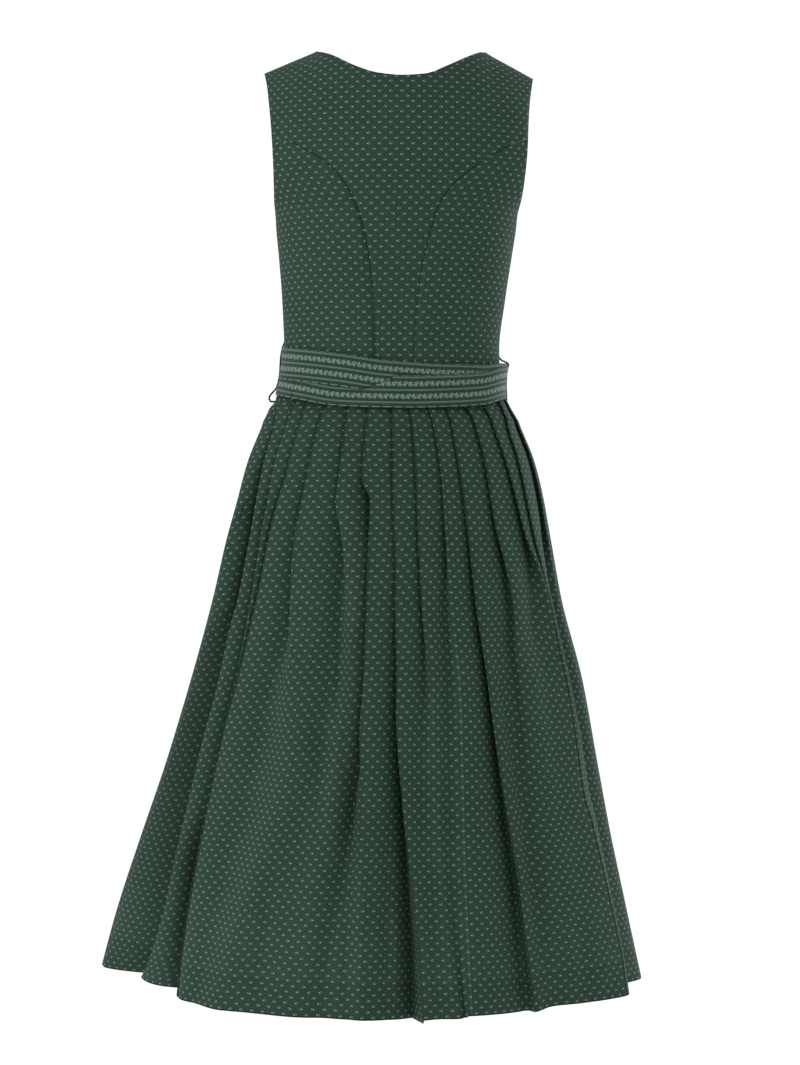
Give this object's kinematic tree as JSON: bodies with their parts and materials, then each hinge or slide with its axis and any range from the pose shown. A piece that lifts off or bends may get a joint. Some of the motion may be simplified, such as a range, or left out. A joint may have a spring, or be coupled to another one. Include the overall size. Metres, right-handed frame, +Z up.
{
  "type": "dirndl dress",
  "caption": "Sleeveless midi dirndl dress with princess-seamed bodice, knife-pleated skirt and woven ribbon belt, in its worn shape.",
  "frame": {"origin": "midway between the wearer's shoulders, where the dress hangs", "axes": "+Z up along the body, -Y towards the wearer's back, -X towards the wearer's left"},
  "size_m": [0.6178, 0.5412, 1.0722],
  "materials": {
    "green_cotton": "bottle-green cotton with a small woven dot-and-hook motif, matt",
    "woven_ribbon": "jacquard ribbon in greens with three smooth stripes and two motif rows",
    "dark_thread": "dark twisted thread"
  },
  "bodies": {
    "root": {"back_centre": "green_cotton", "back_side_left": "green_cotton", "back_side_right": "green_cotton", "front_centre_left": "green_cotton", "front_centre_right": "green_cotton", "front_side_left": "green_cotton", "front_side_right": "green_cotton", "skirt_back": "green_cotton", "skirt_front": "green_cotton", "ribbon_upper": "woven_ribbon", "ribbon_lower": "woven_ribbon", "belt_loop_left": "dark_thread", "belt_loop_right": "dark_thread"}
  },
  "joints": []
}
